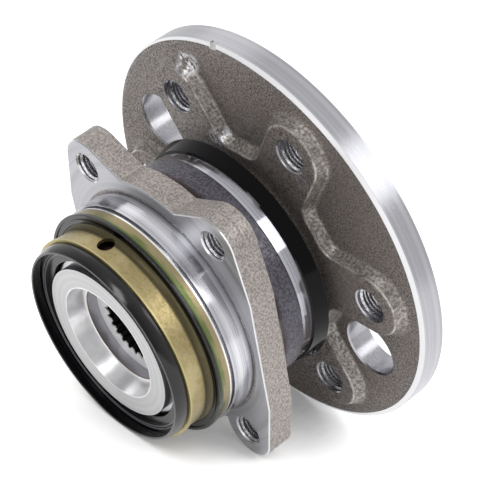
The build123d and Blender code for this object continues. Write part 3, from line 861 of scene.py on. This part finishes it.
def yellow_passivated_zinc(finish):
    """Zinc-plated pressing with a yellow chromate film: dull gold, cloudy and speckled.

    The cove is painted dark as shade, the film is green beside the rubber ring, and
    highlights are painted on the rolled edge and the hem. The plate's own grain is too
    fine to show, and is drawn 0.6 mm across.
    """
    material, tree, place = new_finish("Yellow-passivated zinc plate")
    film = blasted_skin(
        tree, place, 0.6 * MM, ("#8E7F58", "#B8A77C"),
        metallic=0.8, roughness=(0.28, 0.4), relief=0.4, contrast=0.2,
    )
    film["colour"] = add_node(
        tree,
        "ShaderNodeMix",
        {"Factor": 0.5, "A": film["colour"], "B": finish.plating},
        data_type="RGBA",
    )
    cloud = clouds(tree, place, 7 * MM, 0.45, 0.65)
    look = laid_over(tree, cloud, {"colour": linear("#C2B48C"), "roughness": 0.42}, film, 0.5)
    skirt = turned_area(tree, place, -FAR, FAR, -FAR, BEAD_START)
    look = laid_over(tree, skirt, {"colour": linear("#9C8F6E")}, look)
    band = between(tree, place.station, BEAD_START - GREEN_BAND, BEAD_START, 0.35 * MM)
    edge = between(tree, place.station, BEAD_START - GREEN_EDGE, BEAD_START, 0.3 * MM)
    patchy = combined(tree, [band, clouds(tree, place, 5 * MM, 0.3, 0.7)], "MULTIPLY")
    greens = combined(tree, [patchy, edge])
    look = laid_over(tree, greens, {"colour": finish.green_film}, look, 0.85)
    # Painted highlight: a near-white line is painted on the sleeve's hem.
    hem = between(tree, place.station, -FAR, SLEEVE_START + HEM_WIDTH, 0.15 * MM)
    look = laid_over(tree, hem, {"colour": linear("#EFEFEF"), "roughness": 0.2}, look)
    # Painted shade: the sleeve's cove is painted dark and dull.
    cove = between(
        tree, place.station, BEAD_END - 0.5 * MM, BEAD_END + SLEEVE_COVE, 0.6 * MM
    )
    cove_shade_look = {"colour": finish.painted_cove_shade, "metallic": 0.5, "roughness": 0.45}
    look = laid_over(tree, cove, cove_shade_look, look, 0.85)
    # Painted highlight: the rolled edge is painted paler than the plating.
    rolled = between(tree, place.station, SLEEVE_END - 0.45 * SLEEVE_BEAD_WIDTH, FAR, 0.15 * MM)
    look = laid_over(tree, rolled, {"colour": finish.painted_edge_highlight, "roughness": 0.38}, look)
    return close_finish(material, tree, look, 0.05 * MM)


def magnetic_rubber():
    """Ferrite-filled rubber of the encoder: matt and brown-black, its grains drawn coarse."""
    material, tree, place = new_finish("Ferrite-filled rubber")
    look = blasted_skin(
        tree, place, 0.5 * MM, ("#3A2A2A", "#4C3634"), metallic=0.0, roughness=(0.45, 0.6)
    )
    return close_finish(material, tree, look, 0.03 * MM)


def tapped_steel():
    """Freshly tapped steel: torn bright flanks with drag marks, drawn 0.5 mm across."""
    material, tree, place = new_finish("Tapped steel")
    look = blasted_skin(
        tree, place, 0.5 * MM, ("#98979B", "#E0E0E3"), metallic=1.0, roughness=(0.2, 0.34)
    )
    return close_finish(material, tree, look, 0.04 * MM)


def dress(nodes, material):
    """Give CAD nodes a material."""
    for name in nodes:
        slots = frame["nodes"][name].data.materials
        slots.clear()
        slots.append(material)


# ------------------------------------------------------------------ threads


def cut_thread(hole_r, length, threads):
    """Model one internal thread, as a helical rib that stands in from a wall on the Y axis."""
    root_r = hole_r + THREAD_ROOT_LAP
    crest_r = hole_r - threads.depth
    middle_r = (root_r + crest_r) / 2
    bpy.ops.object.select_all(action="DESELECT")
    bpy.ops.mesh.primitive_plane_add(size=1)
    coil = bpy.context.active_object
    bpy.ops.object.mode_set(mode="EDIT")
    bpy.ops.mesh.select_all(action="SELECT")
    bpy.ops.transform.resize(value=(root_r - crest_r, threads.pitch * ROOT_SHARE, 1))
    bpy.ops.transform.translate(value=(middle_r, 0, 0))
    bpy.ops.mesh.select_mode(type="VERT")
    bpy.ops.mesh.select_all(action="DESELECT")
    bpy.ops.object.mode_set(mode="OBJECT")
    for vertex in coil.data.vertices:
        vertex.select = vertex.co.x < middle_r
    bpy.ops.object.mode_set(mode="EDIT")
    bpy.ops.transform.resize(value=(1, threads.crest, 1))
    bpy.ops.object.mode_set(mode="OBJECT")
    turns = int(length / threads.pitch)
    screw = coil.modifiers.new("Helix", "SCREW")
    screw.axis = "Y"
    screw.angle = 2 * pi
    screw.screw_offset = threads.pitch
    screw.iterations = turns
    screw.steps = STEPS_PER_TURN
    screw.render_steps = STEPS_PER_TURN
    screw.use_smooth_shade = True
    bpy.ops.object.modifier_apply(modifier=screw.name)
    bpy.ops.object.mode_set(mode="EDIT")
    bpy.ops.mesh.select_all(action="SELECT")
    bpy.ops.mesh.remove_doubles(threshold=MERGE_DISTANCE)
    bpy.ops.mesh.select_all(action="SELECT")
    bpy.ops.mesh.fill_holes(sides=4)
    bpy.ops.mesh.select_all(action="SELECT")
    bpy.ops.mesh.normals_make_consistent(inside=False)
    spare = length - turns * threads.pitch
    bpy.ops.transform.translate(value=(0, (spare + threads.pitch) / 2, 0))
    bpy.ops.object.mode_set(mode="OBJECT")
    bpy.ops.object.shade_smooth_by_angle(angle=SHARPEST_SMOOTH_EDGE)
    return coil


def set_threads(coil, name, holes, face, body):
    """Copy one thread into holes, from a face inwards, then take the first one away."""
    coil.data.materials.append(tapped_steel())
    for number, (x, z) in enumerate(holes, 1):
        bpy.ops.object.select_all(action="DESELECT")
        coil.select_set(True)
        bpy.context.view_layer.objects.active = coil
        bpy.ops.object.duplicate()
        piece = bpy.context.active_object
        piece.name = f"{name}_{number}"
        piece.data.name = piece.name
        bpy.ops.transform.translate(value=(x, THREAD_SETBACK - face, z))
        bpy.ops.object.transform_apply(location=True, rotation=True, scale=True)
        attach(piece, body)
    bpy.data.objects.remove(coil)


# ------------------------------------------------------------------ operators


class HUB_OT_flanged_hub(bpy.types.Operator):
    """Finish the forged and turned hub with its wheel flange"""

    bl_idname = "hub.flanged_hub"
    bl_label = "Flanged hub"

    def execute(self, context):
        dress(["flanged_hub"], blasted_forging_hub())
        return {"FINISHED"}


class HUB_OT_outer_ring(bpy.types.Operator):
    """Finish the outer ring with its mounting flange"""

    bl_idname = "hub.outer_ring"
    bl_label = "Outer ring"

    def execute(self, context):
        dress(["outer_ring"], ground_forging_ring(context.scene.hub_finish))
        return {"FINISHED"}


class HUB_OT_bearing_rows(bpy.types.Operator):
    """Finish the inner ring, balls and cages"""

    bl_idname = "hub.bearing_rows"
    bl_label = "Bearing rows"

    def execute(self, context):
        dress(["inboard_inner_ring"], ground_bearing_steel())
        dress(["outboard_balls", "inboard_balls"], lapped_ball_steel())
        dress(["outboard_cage", "inboard_cage"], moulded_nylon())
        return {"FINISHED"}


class HUB_OT_cassette_seals(bpy.types.Operator):
    """Finish the seal cases, lips, springs and slingers"""

    bl_idname = "hub.cassette_seals"
    bl_label = "Cassette seals"

    def execute(self, context):
        dress(["outboard_seal_case", "inboard_seal_case"], black_coated_steel())
        dress(["outboard_seal_lip", "inboard_seal_lip"], nitrile_rubber())
        dress(["outboard_garter_spring", "inboard_garter_spring"], wound_spring_wire())
        dress(["outboard_slinger", "inboard_slinger"], pressed_stainless())
        return {"FINISHED"}


class HUB_OT_sealing_sleeve(bpy.types.Operator):
    """Finish the plated sleeve, its rubber ring and the rubber face seal"""

    bl_idname = "hub.sealing_sleeve"
    bl_label = "Sealing sleeve"

    def execute(self, context):
        dress(["sealing_sleeve"], yellow_passivated_zinc(context.scene.hub_finish))
        dress(["sleeve_seal_ring", "inboard_face_seal"], nitrile_rubber())
        return {"FINISHED"}


class HUB_OT_speed_encoder(bpy.types.Operator):
    """Finish the speed encoder and its carrier"""

    bl_idname = "hub.speed_encoder"
    bl_label = "Speed encoder"

    def execute(self, context):
        dress(["encoder_carrier"], pressed_stainless())
        dress(["encoder_ring"], magnetic_rubber())
        return {"FINISHED"}


class HUB_OT_wheel_bolt_threads(bpy.types.Operator):
    """Cut the threads of the wheel bolt holes"""

    bl_idname = "hub.wheel_bolt_threads"
    bl_label = "Wheel bolt threads"

    def execute(self, context):
        angles = [HUB_CLOCK + 2 * pi * i / WHEEL_BOLT_COUNT for i in range(WHEEL_BOLT_COUNT)]
        holes = [(WHEEL_BOLT_CIRCLE_R * cos(a), WHEEL_BOLT_CIRCLE_R * sin(a)) for a in angles]
        coil = cut_thread(WHEEL_BOLT_R, PAD_FACE - THREAD_END_GAP, context.scene.hub_threads)
        set_threads(coil, "wheel_bolt_thread", holes, PAD_FACE, "hub_unit")
        return {"FINISHED"}


class HUB_OT_mounting_bolt_threads(bpy.types.Operator):
    """Cut the threads of the mounting bolt holes"""

    bl_idname = "hub.mounting_bolt_threads"
    bl_label = "Mounting bolt threads"

    def execute(self, context):
        holes = [(sx * AXLE_BOLT_X, sz * AXLE_BOLT_Z) for sx in (-1, 1) for sz in (-1, 1)]
        length = MOUNT_THICKNESS - THREAD_END_GAP
        coil = cut_thread(AXLE_BOLT_R, length, context.scene.hub_threads)
        set_threads(coil, "mounting_bolt_thread", holes, MOUNT_FACE, "ring_unit")
        return {"FINISHED"}


# ------------------------------------------------------------------ stage


def softbox(name, power, size, towards, aim):
    """Hang one rectangular area lamp a metre from the aim, in a direction."""
    data = bpy.data.lights.new(name, "AREA")
    data.energy = power
    data.shape = "RECTANGLE"
    data.size, data.size_y = size
    lamp = bpy.data.objects.new(name, data)
    bpy.context.scene.collection.objects.link(lamp)
    direction = Vector(towards).normalized()
    lamp.location = Vector(aim) + direction
    lamp.rotation_euler = direction.to_track_quat("Z", "Y").to_euler()


def seen_directly(tree, rays):
    """1 for what the camera sees, straight on or through something clear."""
    return combined(tree, [rays["Is Camera Ray"], rays["Is Transmission Ray"]])


def white_tent(stage):
    """World: pure white to the camera, a bright tent beyond the hub, a dim room before it."""
    world = bpy.data.worlds.new("White tent")
    world.use_nodes = True
    tree = world.node_tree
    tree.nodes.clear()
    way = add_node(tree, "ShaderNodeTexCoord").outputs["Generated"]
    axes = add_node(tree, "ShaderNodeSeparateXYZ", {0: way}).outputs
    light = add_node(
        tree,
        "ShaderNodeMapRange",
        {
            "Value": axes["Y"],
            "From Min": -0.5,
            "From Max": 0.5,
            "To Min": stage.room,
            "To Max": stage.tent,
        },
        interpolation_type="SMOOTHSTEP",
    )
    rays = add_node(tree, "ShaderNodeLightPath").outputs
    gain = add_node(
        tree,
        "ShaderNodeMath",
        {0: rays["Is Glossy Ray"], 1: TENT_GLOSS, 2: 1.0},
        operation="MULTIPLY_ADD",
    )
    lit = add_node(tree, "ShaderNodeMath", {0: light, 1: gain}, operation="MULTIPLY")
    seen = seen_directly(tree, rays)
    strength = add_node(tree, "ShaderNodeMix", {"Factor": seen, "A": lit, "B": 1.0})
    tent = add_node(tree, "ShaderNodeBackground", {"Color": (1, 1, 1), "Strength": strength})
    add_node(tree, "ShaderNodeOutputWorld", {"Surface": tent})
    return world


def studio_paper():
    """White seamless paper: matt, seen only from above, with a contact shadow.

    It glows to the camera and in mirrors, less where the bearing stands close over it.
    """
    material = bpy.data.materials.new("White seamless paper")
    material.use_nodes = True
    tree = material.node_tree
    tree.nodes.clear()
    place = add_node(tree, "ShaderNodeTexCoord").outputs["Object"]
    tooth = add_node(
        tree,
        "ShaderNodeTexNoise",
        {"Vector": place, "Scale": 0.5 / PAPER_TOOTH, "Detail": 2.0},
    )
    tone = add_node(
        tree,
        "ShaderNodeMix",
        {"Factor": tooth, "A": linear("#E6E6E6"), "B": linear("#EAEAEA")},
        data_type="RGBA",
    )
    paper = add_node(tree, "ShaderNodeBsdfDiffuse", {"Color": tone})
    shade = add_node(tree, "ShaderNodeAmbientOcclusion", {"Distance": CONTACT_REACH}, samples=8)
    contact = add_node(
        tree,
        "ShaderNodeMapRange",
        {
            "Value": shade.outputs["AO"],
            "From Min": 0.1,
            "From Max": 0.42,
            "To Min": 0.15,
            "To Max": 0.7,
        },
        interpolation_type="SMOOTHSTEP",
    )
    glow = add_node(tree, "ShaderNodeEmission", {"Color": (1, 1, 1), "Strength": contact})
    both = add_node(tree, "ShaderNodeAddShader", {0: paper, 1: glow})
    rays = add_node(tree, "ShaderNodeLightPath").outputs
    seen = seen_directly(tree, rays)
    bright = add_node(
        tree, "ShaderNodeMath", {0: rays["Is Glossy Ray"], 1: seen}, operation="ADD"
    )
    top = add_node(tree, "ShaderNodeMixShader", {0: bright, 1: paper, 2: both})
    clear = add_node(tree, "ShaderNodeBsdfTransparent")
    under = add_node(tree, "ShaderNodeNewGeometry").outputs["Backfacing"]
    sheet = add_node(tree, "ShaderNodeMixShader", {0: under, 1: top, 2: clear})
    add_node(tree, "ShaderNodeOutputMaterial", {"Surface": sheet})
    return material


class HUB_OT_stage(bpy.types.Operator):
    """Set the tilted floor that the hub rests on, the white tent, the lamps and the camera"""

    bl_idname = "hub.stage"
    bl_label = "Stage"

    def execute(self, context):
        stage = context.scene.hub_stage
        rim_low = Vector((0, -CAST_FACE + 0.5 * RIM_CHAMFER, -WHEEL_FLANGE_R))
        lug_low = Vector((0, -MOUNT_FACE, ring_low.z))
        up = Vector((1, 0, 0)).cross(lug_low - rim_low).normalized()
        if up.z < 0:
            up.negate()
        bpy.ops.object.select_all(action="DESELECT")
        bpy.ops.mesh.primitive_circle_add(vertices=96, radius=FLOOR_R, fill_type="NGON")
        floor = context.active_object
        floor.name = "studio_floor"
        floor.data.name = "studio_floor"
        floor.data.transform(up.to_track_quat("Z", "Y").to_matrix().to_4x4())
        floor.data.transform(Matrix.Translation((rim_low + lug_low) / 2))
        floor.data.materials.append(studio_paper())

        context.scene.world = white_tent(stage)
        aim = Vector(stage.aim)
        softbox("far_right_softbox", stage.key_power, (0.45, 0.5), (0.69, 0.45, 0.6), aim)
        softbox("far_left_softbox", stage.left_power, (0.5, 0.6), (-0.74, 0.45, 0.5), aim)
        softbox("top_softbox", stage.top_power, (0.25, 0.4), (0.16, -0.35, 0.92), aim)
        softbox("near_softbox", stage.front_power, (0.5, 0.5), (0.35, -0.9, 0.35), aim)

        data = bpy.data.cameras.new("camera")
        data.lens = stage.lens
        data.sensor_width = SENSOR_WIDTH
        data.clip_start = 0.01
        camera = bpy.data.objects.new("camera", data)
        context.scene.collection.objects.link(camera)
        turn = Euler((pi / 2 - stage.elevation, 0, stage.azimuth)).to_matrix()
        turn = turn @ Matrix.Rotation(stage.roll, 3, "Z")
        camera.matrix_world = Matrix.Translation(aim + turn.col[2] * stage.distance) @ turn.to_4x4()
        context.scene.camera = camera
        context.scene.view_settings.view_transform = "Standard"
        return {"FINISHED"}


OPERATORS = (
    HUB_OT_flanged_hub,
    HUB_OT_outer_ring,
    HUB_OT_bearing_rows,
    HUB_OT_cassette_seals,
    HUB_OT_sealing_sleeve,
    HUB_OT_speed_encoder,
    HUB_OT_wheel_bolt_threads,
    HUB_OT_mounting_bolt_threads,
    HUB_OT_stage,
)


class HUB_PT_panel(bpy.types.Panel):
    """Steps and settings of the hub bearing"""

    bl_label = "Hub Bearing"
    bl_idname = "HUB_PT_panel"
    bl_space_type = "VIEW_3D"
    bl_region_type = "UI"
    bl_category = "Hub Bearing"

    def draw(self, context):
        for operator in OPERATORS:
            self.layout.operator(operator.bl_idname)
        for group in (context.scene.hub_finish, context.scene.hub_threads, context.scene.hub_stage):
            for name in group.__annotations__:
                self.layout.prop(group, name)


CLASSES = (HubFinishProperties, HubThreadProperties, HubStageProperties, *OPERATORS, HUB_PT_panel)


def register():
    """Register the classes and hang the settings on the scene."""
    for cls in CLASSES:
        bpy.utils.register_class(cls)
    bpy.types.Scene.hub_finish = bpy.props.PointerProperty(type=HubFinishProperties)
    bpy.types.Scene.hub_threads = bpy.props.PointerProperty(type=HubThreadProperties)
    bpy.types.Scene.hub_stage = bpy.props.PointerProperty(type=HubStageProperties)


def unregister():
    """Undo register."""
    del bpy.types.Scene.hub_stage
    del bpy.types.Scene.hub_threads
    del bpy.types.Scene.hub_finish
    for cls in reversed(CLASSES):
        bpy.utils.unregister_class(cls)


def main():
    """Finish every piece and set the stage."""
    register()
    bpy.ops.hub.flanged_hub()
    bpy.ops.hub.outer_ring()
    bpy.ops.hub.bearing_rows()
    bpy.ops.hub.cassette_seals()
    bpy.ops.hub.sealing_sleeve()
    bpy.ops.hub.speed_encoder()
    bpy.ops.hub.wheel_bolt_threads()
    bpy.ops.hub.mounting_bolt_threads()
    bpy.ops.hub.stage()


if __name__ == "__main__":
    main()
